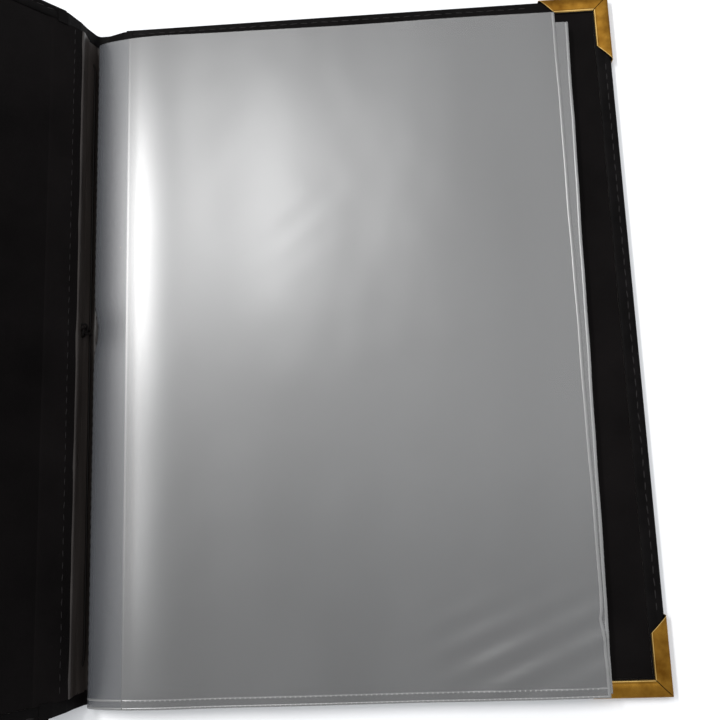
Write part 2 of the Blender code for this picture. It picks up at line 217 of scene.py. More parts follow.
def fillet(points, radii, step=0.0004):
    """A path in X and Z with its corners rounded."""
    path = [np.array(points[0], float)]
    for before, corner, after, radius in zip(points, points[1:], points[2:], radii):
        before, corner, after = (np.array(p, float) for p in (before, corner, after))
        to_before = (before - corner) / np.linalg.norm(before - corner)
        to_after = (after - corner) / np.linalg.norm(after - corner)
        half = math.acos(float(np.clip(to_before @ to_after, -1, 1))) / 2
        reach = radius / math.tan(half)
        middle = (to_before + to_after) / np.linalg.norm(to_before + to_after)
        centre = corner + middle * radius / math.sin(half)
        first, last = corner + to_before * reach, corner + to_after * reach
        turns = max(4, int(radius * (math.pi - 2 * half) / step))
        for i in range(turns + 1):
            share = i / turns
            point = first * (1 - share) + last * share - centre
            path.append(centre + point / np.linalg.norm(point) * radius)
    path.append(np.array(points[-1], float))
    return path


def spread(path, step):
    """The same path with points no further apart than step."""
    dense = [path[0]]
    for a, b in zip(path, path[1:]):
        parts = max(1, int(math.ceil(np.linalg.norm(b - a) / step)))
        dense += [a + (b - a) * (i + 1) / parts for i in range(parts)]
    return dense


def normals(path):
    """Unit vectors across a path in X and Z, on the right of its way."""
    along = np.gradient(np.array(path), axis=0)
    along /= np.linalg.norm(along, axis=1)[:, None]
    return np.stack([along[:, 1], -along[:, 0]], axis=1)


def ribbon(name, path, thickness, y_low, y_high, material, ripple=0.0):
    """A closed strip that follows a path in X and Z and runs along Y."""
    rows = 5 + int((y_high - y_low) / 0.008)
    upper, lower = [], []
    for r in range(rows):
        y = y_low + (y_high - y_low) * r / (rows - 1)
        for i, (point, out) in enumerate(zip(path, normals(path))):
            sway = ripple * math.sin(47 * y + 0.09 * i) * math.sin(173 * y + 1.3)
            a = point + out * (thickness / 2 + sway)
            b = point - out * (thickness / 2 - sway)
            upper.append((a[0], y, a[1]))
            lower.append((b[0], y, b[1]))
    return make_piece(name, upper + lower, sheet_faces(rows, len(path)), material, sharp=50)


# Materials


class Nodes:
    """A short way to write one material's node tree."""

    def __init__(self, name):
        self.material = bpy.data.materials.new(name)
        self.material.use_nodes = True
        self.tree = self.material.node_tree
        self.shader = self.tree.nodes["Principled BSDF"]
        self.place = self.add("ShaderNodeTexCoord").outputs["Object"]

    def add(self, kind, **values):
        node = self.tree.nodes.new(kind)
        for name, value in values.items():
            setattr(node, name, value)
        return node

    def link(self, a, b):
        self.tree.links.new(a, b)

    def mapped(self, scale):
        node = self.add("ShaderNodeMapping")
        node.inputs["Scale"].default_value = scale
        self.link(self.place, node.inputs["Vector"])
        return node.outputs["Vector"]

    def noise(self, scale, detail=3.0, rough=0.55, stretch=(1.0, 1.0, 1.0)):
        node = self.add("ShaderNodeTexNoise")
        node.inputs["Scale"].default_value = scale
        node.inputs["Detail"].default_value = detail
        node.inputs["Roughness"].default_value = rough
        self.link(self.mapped(stretch), node.inputs["Vector"])
        return node.outputs["Fac"]

    def cells(self, scale):
        node = self.add("ShaderNodeTexVoronoi", feature="SMOOTH_F1")
        node.inputs["Scale"].default_value = scale
        self.link(self.place, node.inputs["Vector"])
        return node.outputs["Distance"]

    def ramp(self, value, low, high, a, b):
        node = self.add("ShaderNodeMapRange")
        for name, number in (("From Min", low), ("From Max", high), ("To Min", a), ("To Max", b)):
            node.inputs[name].default_value = number
        self.link(value, node.inputs["Value"])
        return node.outputs["Result"]

    def colours(self, value, dark, light, low=0.3, high=0.7):
        node = self.add("ShaderNodeValToRGB")
        first, last = node.color_ramp.elements
        first.position, last.position = low, high
        first.color, last.color = (*dark, 1.0), (*light, 1.0)
        self.link(value, node.inputs["Fac"])
        return node.outputs["Color"]

    def bump(self, layers):
        """Stacks (height, strength, distance in metres) layers on the shader's normal."""
        before = None
        for height, strength, distance in layers:
            node = self.add("ShaderNodeBump")
            node.inputs["Strength"].default_value = strength
            node.inputs["Distance"].default_value = distance
            self.link(height, node.inputs["Height"])
            if before:
                self.link(before, node.inputs["Normal"])
            before = node.outputs["Normal"]
        self.link(before, self.shader.inputs["Normal"])

    def set(self, **values):
        for name, value in values.items():
            self.shader.inputs[name.replace("_", " ")].default_value = value

    def colour(self, socket):
        self.link(socket, self.shader.inputs["Base Color"])

    def roughness(self, socket):
        self.link(socket, self.shader.inputs["Roughness"])


def leatherette():
    """Black coated cloth with a fine pebbled grain."""
    m = Nodes("leatherette")
    grain = m.cells(1150)
    soft = m.noise(90)
    m.colour(m.colours(soft, (0.0024, 0.0021, 0.0021), (0.0048, 0.0042, 0.0043)))
    m.roughness(m.ramp(grain, 0.0, 0.7, 0.36, 0.58))
    m.bump([(soft, 0.15, 0.0006), (grain, 0.30, 0.00010), (m.noise(5200), 0.12, 0.00005)])
    m.set(Specular_IOR_Level=0.03)
    return m.material


def lining_cloth():
    """Matte black lining with short fibres."""
    m = Nodes("lining_cloth")
    fibre = m.noise(2600, 4.0, 0.7, (1.0, 0.35, 1.0))
    patch = m.noise(28)
    m.colour(m.colours(patch, (0.0026, 0.0021, 0.0021), (0.0056, 0.0046, 0.0046)))
    m.roughness(m.ramp(fibre, 0.3, 0.7, 0.72, 0.92))
    m.bump([(patch, 0.2, 0.0008), (fibre, 0.5, 0.00010)])
    m.set(Specular_IOR_Level=0.05)
    return m.material


def strip_vinyl():
    """The smoother strip inside the spine, with lengthwise creases."""
    m = Nodes("strip_vinyl")
    crease = m.noise(240, 3.0, 0.6, (1.0, 0.05, 1.0))
    m.colour(m.colours(crease, (0.0200, 0.0165, 0.0148), (0.0420, 0.0345, 0.0305)))
    m.roughness(m.ramp(crease, 0.3, 0.7, 0.26, 0.46))
    m.bump([(crease, 0.35, 0.0004), (m.cells(1500), 0.2, 0.00008)])
    m.set(Specular_IOR_Level=0.40)
    return m.material


def brass(name, dark, light):
    """Thin brass-plated sheet, a little scratched and stained."""
    m = Nodes(name)
    stain = m.noise(130, 4.0)
    scratch = m.noise(900, 2.0, 0.5, (1.0, 0.08, 1.0))
    m.colour(m.colours(stain, dark, light))
    m.roughness(m.ramp(stain, 0.3, 0.7, 0.36, 0.24))
    m.bump([(stain, 0.18, 0.0004), (scratch, 0.12, 0.00005)])
    m.set(Metallic=1.0)
    return m.material


def greyboard():
    """Bookbinding board, inside the covers."""
    m = Nodes("greyboard")
    pulp = m.noise(900, 5.0, 0.7)
    m.colour(m.colours(pulp, (0.20, 0.185, 0.165), (0.33, 0.31, 0.28)))
    m.roughness(m.ramp(pulp, 0.3, 0.7, 0.85, 0.95))
    m.bump([(pulp, 0.4, 0.0002)])
    return m.material


def clear_film(name, body, alpha):
    """Clear soft film, hazy where sheets of it lie one on another."""
    m = Nodes(name)
    haze = m.noise(16, 3.0, 0.5, (1.0, 0.35, 1.0))
    fine = m.noise(120, 3.0, 0.5, (1.0, 0.15, 1.0))
    m.colour(m.colours(haze, tuple(0.7 * c for c in body), tuple(1.3 * c for c in body), 0.1, 0.9))
    m.roughness(m.ramp(haze, 0.1, 0.9, 0.276, 0.306))
    m.bump([(haze, 0.10, 0.0012), (fine, 0.02, 0.0002)])
    m.set(Alpha=alpha, IOR=1.80, Specular_IOR_Level=0.9)
    return m.material


def thread(name, colour):
    """Twisted sewing thread."""
    m = Nodes(name)
    twist = m.noise(3200, 2.0, 0.5, (0.5, 1.0, 1.0))
    m.colour(m.colours(twist, tuple(0.7 * c for c in colour), tuple(1.3 * c for c in colour)))
    m.roughness(m.ramp(twist, 0.3, 0.7, 0.42, 0.62))
    m.bump([(twist, 0.4, 0.0001)])
    m.set(Specular_IOR_Level=0.08)
    return m.material


# Covers


def cover_profile():
    """Inset and height round a cover's edge: outer face, rounded edge, turned-in border, inside."""
    points = [
        (WRAP_IN, 0.0),
        (STITCH_IN + SEW_OUT_W, 0.0),
        (STITCH_IN, SEW_OUT_DENT),
        (STITCH_IN - SEW_OUT_W, 0.0),
    ]
    for i in range(7):
        turn = math.pi / 2 * i / 6
        points.append((EDGE_R * (1 - math.sin(turn)), EDGE_R * (1 - math.cos(turn))))
    for i in range(7):
        turn = math.pi / 2 * i / 6
        points.append((EDGE_R * (1 - math.cos(turn)), COVER_T - EDGE_R * (1 - math.sin(turn))))
    points += [
        (STITCH_IN - SEW_IN_W, COVER_T + 0.00003),
        (STITCH_IN, COVER_T - SEW_IN_DENT),
        (STITCH_IN + SEW_IN_W, COVER_T + 0.00005),
        (TURN_IN - 0.0010, COVER_T + 0.00012),
        (TURN_IN - 0.0003, COVER_T + 0.00008),
        (TURN_IN, COVER_T - 0.00015),
        (TURN_IN, COVER_T - LINING_T),
        (WRAP_EDGE, COVER_T - LINING_T),
        (WRAP_EDGE, SKIN_T),
        (WRAP_IN, SKIN_T),
    ]
    return points


def edge_loop(groove, inset, height):
    """Three sides of a cover at one inset, from the spine along the tail, fore-edge and head."""
    right, top = groove + COVER_W - inset, HALF_H - inset
    radius = max(COVER_CORNER_R - inset, LEAST_R)
    loop = [(groove - WRAP_LAP, -top)]
    for side, first in ((-1, -90), (1, 0)):
        for i in range(5):
            turn = math.radians(first + 90 * i / 4)
            x = right - radius + radius * math.cos(turn)
            loop.append((x, side * (top - radius) + radius * math.sin(turn)))
    loop.append((groove - WRAP_LAP, top))
    return [(x, y, height - AXIS_Z) for x, y in loop]


def cover_wrap(name, groove, matrix, material):
    """The skin of one cover as a tray with a turned-in border, open at the spine."""
    loops = [edge_loop(groove, inset, height) for inset, height in cover_profile()]
    size = len(loops[0])
    verts = [p for loop in loops for p in loop]
    faces = []
    for i in range(len(loops) - 1):
        for j in range(size - 1):
            a, b = i * size + j, i * size + j + 1
            faces.append((a, a + size, b + size, b))
    last = (len(loops) - 1) * size
    faces.append(tuple(range(size)))
    faces.append(tuple(last + j for j in range(size - 1, -1, -1)))
    starts = [i * size for i in range(len(loops))]
    ends = [i * size + size - 1 for i in range(len(loops))]
    faces.append(tuple(ends + starts[::-1]))
    return make_piece(name, moved(verts, matrix), faces, material, sharp=40)


def lining_panel(name, groove, matrix, material):
    """The inner panel with softened edges, a little below the turned-in border."""
    base, top, soft = LINING_TOP - LINING_T + PANEL_GAP / 2, LINING_TOP - PANEL_GAP, PANEL_SOFT
    border = TURN_IN + PANEL_GAP
    rings = []
    for inset, height in ((0.0, base), (0.0, top - soft), (soft / 3, top - soft / 3), (soft, top)):
        x0, x1, y = groove + inset, groove + COVER_W - border - inset, HALF_H - border - inset
        rings.append([(x0, -y, height), (x1, -y, height), (x1, y, height), (x0, y, height)])
    verts = [p for ring in rings for p in ring]
    faces = [(3, 2, 1, 0), tuple(range(12, 16))]
    for i in range(3):
        for j in range(4):
            k = (j + 1) % 4
            faces.append((4 * i + j, 4 * i + k, 4 * i + 4 + k, 4 * i + 4 + j))
    return make_piece(name, moved(verts, matrix), faces, material, sharp=40)


def stitch(centre, along, up, length, width):
    """One stitch: a low rounded bar of thread."""
    side = up.cross(along).normalized()
    verts, faces = [], []
    sections = ((-0.5, 0.35), (-0.38, 0.85), (0.0, 1.0), (0.38, 0.85), (0.5, 0.35))
    for place, share in sections:
        sink = 0.25 * width * (1 - share)
        for i in range(6):
            turn = math.pi * 2 * i / 6
            out = side * math.cos(turn) + up * 0.6 * math.sin(turn)
            verts.append(centre + along * place * length + out * width / 2 * share - up * sink)
    for i in range(4):
        for j in range(6):
            a, b = 6 * i + j, 6 * i + (j + 1) % 6
            faces.append((a, b, b + 6, a + 6))
    faces.append((5, 4, 3, 2, 1, 0))
    faces.append(tuple(range(24, 30)))
    return verts, faces


def stitch_row(name, places, matrix, material, length=STITCH_L, width=STITCH_W):
    """Stitches at (centre, along, up) places, as one piece."""
    bodies = []
    for centre, along, up in places:
        turn = Matrix.Rotation(math.radians(dice.uniform(-7, 7)), 3, up)
        bodies.append(stitch(centre, turn @ along, up, length * dice.uniform(0.92, 1.05), width))
    verts, faces = joined(bodies)
    return make_piece(name, moved(verts, matrix), faces, material)


def cover_stitches(groove):
    """Places of a cover's stitches, inside and outside, clear of the brass corners."""
    places = []
    reach = COVER_W - CORNER_LEG - STITCH_CLEAR
    right = groove + COVER_W - STITCH_IN
    inside = (LINING_TOP - STITCH_SINK, Vector((0, 0, 1)))
    outside = (STITCH_SINK - AXIS_Z, Vector((0, 0, -1)))
    for height, up in (inside, outside):
        for i in range(int(reach / STITCH_PITCH)):
            x = groove + STITCH_PITCH / 2 + STITCH_PITCH * i
            for side in (-1, 1):
                places.append((Vector((x, side * (HALF_H - STITCH_IN), height)), Vector((1, 0, 0)), up))
        span = HALF_H - CORNER_LEG - STITCH_CLEAR
        count = int(2 * span / STITCH_PITCH)
        for i in range(count):
            y = -span + (i + 0.5) * 2 * span / count
            places.append((Vector((right, y, height)), Vector((0, 1, 0)), up))
    return places


def flap_profile():
    """Inset and height across a guard: up the wall, over the bowed flap and down its rim."""
    top = LINING_TOP + BRASS_EDGE
    points = [(-BRASS_EDGE, -AXIS_Z), (-BRASS_EDGE, top - GUARD_R)]
    for i in range(1, 6):
        turn = math.pi / 2 * i / 5
        inset = GUARD_R * (1 - math.cos(turn)) - BRASS_EDGE
        points.append((inset, top - GUARD_R * (1 - math.sin(turn))))
    start, end = GUARD_R - BRASS_EDGE, CORNER_FLAP - GUARD_RIM
    for i in range(1, 9):
        share = i / 8
        points.append((start + (end - start) * share, top + GUARD_BOW * math.sin(math.pi * share)))
    points += [
        (end + 0.00030, top + 0.00010),
        (end + 0.00060, top + 0.00004),
        (CORNER_FLAP, top - 0.00040),
    ]
    return np.array(points)


def guard_leg(swap):
    """One leg of a guard as a sheet from the mitre to its slanted end, as (inset, distance, height)."""
    profile = flap_profile()
    slope = np.gradient(profile, axis=0)
    slope /= np.linalg.norm(slope, axis=1)[:, None]
    into = np.stack([slope[:, 1], -slope[:, 0]], axis=1) * GUARD_T
    shares = [i / 14 for i in range(14)] + [0.985, 1.0]
    rows = len(shares)
    upper, lower = [], []
    for share in shares:
        for (inset, height), (dx, dz) in zip(profile, into):
            near = inset + MITRE_GAP * min(max(inset + MITRE_START, 0.0) / MITRE_RUN, 1.0)
            far = CORNER_LEG - max(inset + BRASS_EDGE, 0.0)
            q = near + (far - near) * share
            upper.append((inset, q, height))
            lower.append((inset + dx, q, height + dz))
    points = upper + lower
    if swap:
        points = [(q, p, z) for p, q, z in points]
    return points, sheet_faces(rows, len(profile))


def guard_plate():
    """The triangle outside the cover, a little bowed, with a rounded rim."""
    points, faces = [], []
    corner, leg = PLATE_IN - BRASS_EDGE, CORNER_LEG - PLATE_SHORT
    steps = 12
    rings = ((0.0, 0.00036), (0.0, 0.00006), (0.00025, 0.0), (0.0030, -0.00004))
    for inset, lift in rings:
        low, high = corner + inset, leg - PLATE_SLANT * inset
        ring = [(high, low), (low, low), (low, high)]
        for a, b in zip(ring, ring[1:] + ring[:1]):
            for i in range(steps):
                share = i / steps
                x, y = (p + (q - p) * share for p, q in zip(a, b))
                points.append((x, y, lift - AXIS_Z))
    size = 3 * steps
    for i in range(len(rings) - 1):
        for j in range(size):
            k = (j + 1) % size
            faces.append((i * size + j, i * size + k, i * size + size + k, i * size + size + j))
    faces.append(tuple(range(size - 1, -1, -1)))
    faces.append(tuple(range(3 * size, 4 * size)))
    return points, faces


def brass_corner(node, body, groove, matrix, side, mats):
    """A folded guard, with a painted highlight on its inner rims and slanted ends, at the cover's +Y (side
    1) or -Y (side -1) corner.
    """
    points, faces = joined([guard_leg(False), guard_leg(True), guard_plate()])
    verts = [(groove + COVER_W - p, side * (HALF_H - q), z) for p, q, z in points]
    piece = make_piece(node + "_guard", moved(verts, matrix), faces, mats["brass"], sharp=35)
    piece.data.materials.append(mats["painted_highlight"])
    back = matrix.inverted()
    # Faces on the flaps' inner rims and near the slanted ends get the lighter brass, which is a painted
    # highlight
    rim_in, rim_out = CORNER_FLAP - RIM_HIGHLIGHT_FLAP, CORNER_LEG - RIM_HIGHLIGHT_SLANT
    for face in piece.data.polygons:
        spot = back @ face.center
        p, q = groove + COVER_W - spot.x, HALF_H - side * spot.y
        inside = spot.z > LINING_TOP and min(p, q) > rim_in
        slant = spot.z > LINING_TOP and p + q > rim_out
        face.material_index = 1 if inside or slant else 0
    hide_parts(node)
    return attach(piece, body)


def dress_cover(side, body, groove, matrix, mats):
    """Everything on one cover."""
    wrap = cover_wrap(side + "_cover_wrap", groove, matrix, mats["leatherette"])
    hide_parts(side + "_cover_skin")
    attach(wrap, body)
    panel = lining_panel(side + "_inner_panel", groove, matrix, mats["lining"])
    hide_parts(side + "_lining")
    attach(panel, body)
    row = stitch_row(side + "_stitches", cover_stitches(groove), matrix, mats["thread"])
    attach(row, body)
    head = 1 if side == "back" else -1
    brass_corner(side + "_corner_head", body, groove, matrix, head, mats)
    brass_corner(side + "_corner_tail", body, groove, matrix, -head, mats)
    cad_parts[side + "_board"].data.materials.clear()
    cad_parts[side + "_board"].data.materials.append(mats["board"])


# Soft spine


def flat(matrix, x, z):
    """X and Z in the book's frame of a point in a fold's frame."""
    point = matrix @ Vector((x, 0.0, z))
    return (point.x, point.z)


BACK_FOLD = (flat(BACK, FOLD_REACH, 0.0), flat(SPINE, FOLD_REACH, 0.0))
FRONT_FOLD = (flat(SPINE, SPINE_W - FOLD_REACH, 0.0), flat(FRONT, FOLD_REACH, 0.0))


def split(path, matrix):
    """Cuts a path at the middle of the standing strip, so that both halves share that point."""
    middle = np.array(flat(matrix, SPINE_W / 2, 0.0))
    nearest = min(range(len(path)), key=lambda i: np.linalg.norm(path[i] - middle))
    return path[: nearest + 1], path[nearest:]


def fold_paths():
    """Paths in X and Z across the soft spine: outer skin, inner strip and the turned-in ends."""
    low = FLOOR_TOP - LINING_T / 2
    high = LINING_TOP + 0.0001
    inside = low / math.tan(SPINE_REST / 2)
    skin = [
        flat(BACK, BACK_GROOVE + SKIN_LAP, 0.0),
        flat(BACK, 0.0, 0.0),
        flat(FRONT, 0.0, 0.0),
        flat(FRONT, FRONT_GROOVE + SKIN_LAP, 0.0),
    ]
    strip = [
        flat(BACK, BACK_GROOVE + STRIP_LAP, high),
        flat(BACK, BACK_GROOVE - STRIP_STEP, high),
        flat(BACK, BACK_GROOVE - STRIP_STEP, low),
        flat(BACK, inside, low),
        flat(SPINE, ROLL_X - ROLL_RUN, low),
        flat(SPINE, ROLL_X, low + ROLL_RISE),
        flat(FRONT, ROLL_END_X, low + ROLL_END_Z),
    ]
    ends = [
        flat(BACK, BACK_GROOVE + END_LAP_BACK, high),
        flat(BACK, BACK_GROOVE - END_TOP_BACK, high),
        flat(BACK, BACK_GROOVE - END_FOOT_BACK, low),
        flat(BACK, inside, low),
        flat(SPINE, ROLL_X - END_RUN, low),
        flat(SPINE, ROLL_X, low + END_RISE * ROLL_RISE),
        flat(FRONT, FRONT_GROOVE - END_TOP_FRONT, high),
        flat(FRONT, FRONT_GROOVE + END_LAP_FRONT, high),
    ]
    return (
        fillet(skin, (0.0020, 0.0040)),
        fillet(strip, (0.0008, 0.0012, 0.0018, 0.0060, 0.0006)),
        fillet(ends, (0.0015, 0.0050, 0.0030, 0.0040, 0.0020, 0.0012)),
    )


def turn_in(name, path, skin, y_low, y_high, material, matrix, groove):
    """The skin folded in at one end of the spine, filled down to the outer skin as far as it laps."""
    home = matrix.inverted()
    upper, lower = [], []
    for point, out in zip(path, normals(path)):
        top = point + out * TURN_T / 2
        low = point - out * TURN_T / 2
        if (home @ Vector((point[0], 0.0, point[1]))).x < groove + SKIN_LAP:
            near = min(skin, key=lambda q: np.linalg.norm(q - top))
            low = near + (top - near) / np.linalg.norm(top - near) * (SKIN_T / 2 - TURN_SINK)
        upper.append(top)
        lower.append(low)
    rows = [y_low + (y_high - y_low) * r / 4 for r in range(5)]
    verts = [(x, y, z) for side in (upper, lower) for y in rows for x, z in side]
    return make_piece(name, verts, sheet_faces(len(rows), len(path)), material, sharp=50)


def soft_spine(mats):
    """The outer skin, the inner strip and the turned-in ends, in two halves split at the middle of the
    standing strip.
    """
    halves = (
        ("back", ("back_cover", "spine"), BACK_FOLD, BACK, BACK_GROOVE),
        ("front", ("spine", "front_cover"), FRONT_FOLD, FRONT, FRONT_GROOVE),
    )
    slots = ("leatherette_black", "spine_strip", "leatherette_black", "leatherette_black")
    leather = mats["leatherette"]
    skin, strip, ends = (spread(path, FOLD_STEP) for path in fold_paths())
    outer, inner = HALF_H - SPINE_RECESS, HALF_H - SPINE_LINING_INSET
    lap = inner - TURN_OVERLAP
    for side, (end, bodies, fold, matrix, groove) in enumerate(halves):
        skin_half, strip_half, ends_half = (split(path, SPINE)[side] for path in (skin, strip, ends))
        made = (
            ribbon(f"spine_skin_{end}", skin_half, SKIN_T, -outer, outer, leather),
            ribbon(f"spine_strip_{end}", strip_half, LINING_T, -inner, inner, mats["strip"], STRIP_RIPPLE),
            turn_in(f"spine_head_turn_in_{end}", ends_half, skin, lap, outer, leather, matrix, groove),
            turn_in(f"spine_tail_turn_in_{end}", ends_half, skin, -outer, -lap, leather, matrix, groove),
        )
        for piece, slot in zip(made, slots):
            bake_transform(piece)
    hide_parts("spine_skin")
    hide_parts("spine_lining", "back_hinge_lining")
    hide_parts("front_hinge_lining")


def front_apron(mats):
    """The front lining's soft edge, which runs on to the roll at the fold and is sewn along it."""
    high = LINING_TOP - APRON_SINK
    points = [
        flat(SPINE, ROLL_X + 0.0003, FLOOR_TOP + ROLL_RISE - 0.0010),
        flat(SPINE, ROLL_X + 0.0007, FLOOR_TOP + ROLL_RISE - 0.0005),
        flat(FRONT, APRON_STITCH, high),
        flat(FRONT, FRONT_GROOVE + APRON_LAP, high),
        flat(FRONT, FRONT_GROOVE + APRON_TUCK_X, high - APRON_TUCK_Z),
    ]
    half = HALF_H - SPINE_LINING_INSET
    path = spread(fillet(points, (0.0003, 0.0080, 0.0100)), APRON_STEP)[::-1]
    apron = ribbon("front_apron", path, APRON_T, -half, half, mats["lining"])
    places = []
    for i in range(int(2 * half / STITCH_PITCH)):
        y = -half + STITCH_PITCH * (i + 0.5)
        centre = Vector((APRON_STITCH, y, high + APRON_STITCH_LIFT))
        places.append((centre, Vector((0, 1, 0)), Vector((0, 0, 1))))
    row = stitch_row("front_apron_stitches", places, FRONT, mats["thread"])
    for piece in (apron, row):
        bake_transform(piece)


# Leaves


def crease_height(leaf):
    """Mid-height of a leaf at its crease."""
    return LINING_TOP + CREASE_LIFT + (LEAF_COUNT - leaf) * CREASE_PITCH


def fore_height(leaf):
    """Mid-height of a leaf at its fore-edge."""
    lowest = LINING_TOP + BRASS_EDGE + GAP + LEAF_T / 2
    return lowest + (LEAF_COUNT - leaf) * (LEAF_T + GAP)


CREASE_X = BACK_GROOVE + CREASE_IN
FORE_X = BACK_GROOVE + COVER_W - LEAF_FORE_MARGIN


def closeness(x, y, spread_x, spread_y):
    """How near a point is to the middle of an uneven patch: 1 there, and 0 far off."""
    return math.exp(-((x / spread_x) ** 2) - (y / spread_y) ** 2)


def leaf_folds(x, y):
    """Faint unevenness of the film, with a few slanted folds beside the broad highlight."""
    ripple = RIPPLE * noise.noise(Vector((RIPPLE_RATE[0] * x, RIPPLE_RATE[1] * y, 0.5)))
    near = closeness(x - FOLD_AT[0], y - FOLD_AT[1], *FOLD_SPREAD)
    return ripple + FOLD_RISE * near * math.sin(FOLD_RATE * (y - FOLD_SLANT * x))


def corner_crinkles(x, y):
    """Crinkles near the fore-edge's tail corner."""
    near = closeness(x - FORE_X + CRINKLE_IN[0], y - TAIL_Y - CRINKLE_IN[1], *CRINKLE_SPREAD)
    beat = 1 + 0.5 * math.sin(CRINKLE_BEAT[0] * x + CRINKLE_BEAT[1] * y)
    return CRINKLE * near * math.sin(CRINKLE_RATE * (y - CRINKLE_SLANT * x)) * beat


def clamped(value):
    """The value, kept between 0 and 1."""
    return min(max(value, 0.0), 1.0)


def leaf_swell(x, y):
    """How far the leaves bow up: a crown beside the crease, slow waves, folds and crinkles."""
    run = x - CREASE_X
    past = run / HUMP_AT - 1
    crown = HUMP * (1 - past**2 if past < 0 else math.exp(-(past**2)))
    fade = clamped(run / WAVE_FADE) * clamped((FORE_X - x) / WAVE_FADE)
    wave = WAVE * math.sin(2 * math.pi * (run - WAVE_START) / WAVE_L + 0.5 * math.sin(9 * y))
    return crown + fade * (wave + leaf_folds(x, y)) + corner_crinkles(x, y)


def leaf_middle(leaf, x, y):
    """Mid-height of a leaf's panel at a point."""
    rise = (fore_height(leaf) - crease_height(leaf)) / (FORE_X - CREASE_X)
    return crease_height(leaf) + rise * (x - CREASE_X) + leaf_swell(x, y)


def leaf_corners(leaf):
    """Corners of a leaf's panel in order: tail and head at the crease, tail and head at the fore-edge."""
    start, fore = CREASE_X - CREASE_LAP, FORE_X
    tail, head = TAIL_Y, TAIL_Y + LEAF_H
    if leaf == 1:
        return (start, tail), (start, head), (fore, tail), (fore, head)
    fore += SECOND_LEAF_SHIFT - (leaf - 2) * UNDER_LEAF_STEP
    drop, lean = LEAF_SKEW * (fore - start), LEAF_SKEW * LEAF_H / 2
    head -= UNDER_LEAF_DROP
    tail += UNDER_LEAF_DROP + drop
    return (start, tail), (start, head), (fore - lean, tail - drop), (fore + lean, head - drop)


def leaf_point(leaf, across, along):
    """X and Y at a share across the leaf, from the crease, and a share along it, from the tail."""
    corners = [np.array(c) for c in leaf_corners(leaf)]
    near = corners[0] * (1 - along) + corners[1] * along
    far = corners[2] * (1 - along) + corners[3] * along
    point = near * (1 - across) + far * across
    y = point[1]
    wave = sum(rise * math.sin(rate * y + shift * leaf) for rise, rate, shift in EDGE_WAVES)
    nick = NICK * math.exp(-(((y - TAIL_Y - NICK_UP) / NICK_W) ** 2)) if leaf == 1 else 0.0
    point[0] += across**10 * (wave - nick)
    return point


def leaf_films(leaf):
    """Both films of a pocket, pressed together along the crease and the welded tail and fore-edge."""
    columns, rows = (96, 110) if leaf < 3 else (60, 80)
    across = [CREASE_SHARE * i / CREASE_COLUMNS for i in range(CREASE_COLUMNS)]
    across += [CREASE_SHARE + (1 - CREASE_SHARE) * (i / columns) ** 1.15 for i in range(columns + 1)]
    along = [i / rows for i in range(rows + 1)]
    width, height = FORE_X - CREASE_X, LEAF_H
    bodies = []
    for side in (1, -1):
        upper, lower = [], []
        for t in along:
            for s in across:
                x, y = leaf_point(leaf, s, t)
                edge = min(s * width, (1 - s) * width, t * height)
                apart = SEAM_APART + POCKET_APART * clamped((edge - SEAM_IN) / SEAM_BAND)
                z = leaf_middle(leaf, x, y) + side * apart
                upper.append((x, y, z + FILM_T / 2))
                lower.append((x, y, z - FILM_T / 2))
        bodies.append((upper + lower, sheet_faces(len(along), len(across))))
    return bodies


def on_leaf(leaf, across, along, lift):
    """A point above the middle of a leaf, at a share across it and a share along it."""
    x, y = leaf_point(leaf, across, along)
    return Vector((x, y, leaf_middle(leaf, x, y) + lift))


def seam_pips(leaf):
    """The knurled weld: two rows of small pips along the tail."""
    width, height = FORE_X - CREASE_X, LEAF_H
    faces = [(3, 2, 1, 0), (8, 9, 10, 11)]
    for ring in (0, 4):
        for j in range(4):
            k = (j + 1) % 4
            faces.append((ring + j, ring + k, ring + 4 + k, ring + 4 + j))
    bodies = []
    for inset, pitch, size in SEAM_ROWS:
        for i in range(int((width - 2 * WELD_END) / pitch)):
            centre = on_leaf(leaf, (WELD_END + i * pitch) / width, inset / height, WELD_LIFT + RIM_T)
            verts = []
            for share, rise in PIP_RINGS:
                for a, b in ((-1, -1), (1, -1), (1, 1), (-1, 1)):
                    verts.append(centre + Vector((a * share * size, b * share * size, rise)))
            bodies.append((verts, faces))
    return bodies


def leaf_rims(leaf):
    """The welded rims: two low beads along the tail and one along the fore-edge."""
    width, height = FORE_X - CREASE_X, LEAF_H
    steps, end = 80, 0.002
    shares = [end + (1 - 2 * end) * i / steps for i in range(steps + 1)]
    bodies = []
    for inset in TAIL_BEADS:
        path = [on_leaf(leaf, share, inset / height, WELD_LIFT) for share in shares]
        bodies.append(bead(path, Vector((0, -1, 0)), BEAD_W, RIM_T))
    path = [on_leaf(leaf, 1 - 0.55 * RIM_W / width, share, WELD_LIFT) for share in shares]
    bodies.append(bead(path, Vector((1, 0, 0)), RIM_W, RIM_T))
    return bodies


def margin_path(leaf, y, belly_steps=8, steps=26):
    """X and Z along a leaf's sewn margin: up from the gutter with a belly, then over to the crease."""
    end_x = CREASE_X - CREASE_LAP
    root_x = ROOT_FIRST + (leaf - 1) * ROOT_PITCH
    root_z = FLOOR_TOP + GAP + STRIP_T + GAP
    bulge = MARGIN_BULGE * (1 - KNOT_DENT * math.exp(-(((y - KNOT_Y) / KNOT_DENT_W) ** 2)))
    path = []
    for i in range(belly_steps):
        share = i / belly_steps
        path.append((root_x - bulge * (1 - (1 - share) ** 2), root_z + MARGIN_BELLY * share))
    low, end_z = root_z + MARGIN_BELLY, leaf_middle(leaf, end_x, y)
    for i in range(steps + 1):
        share = i / steps
        x = root_x - bulge + (end_x - root_x + bulge) * share**MARGIN_CURVE
        path.append((x, low + (end_z - low) * share))
    return [np.array(flat(BACK, x, z)) for x, z in path]


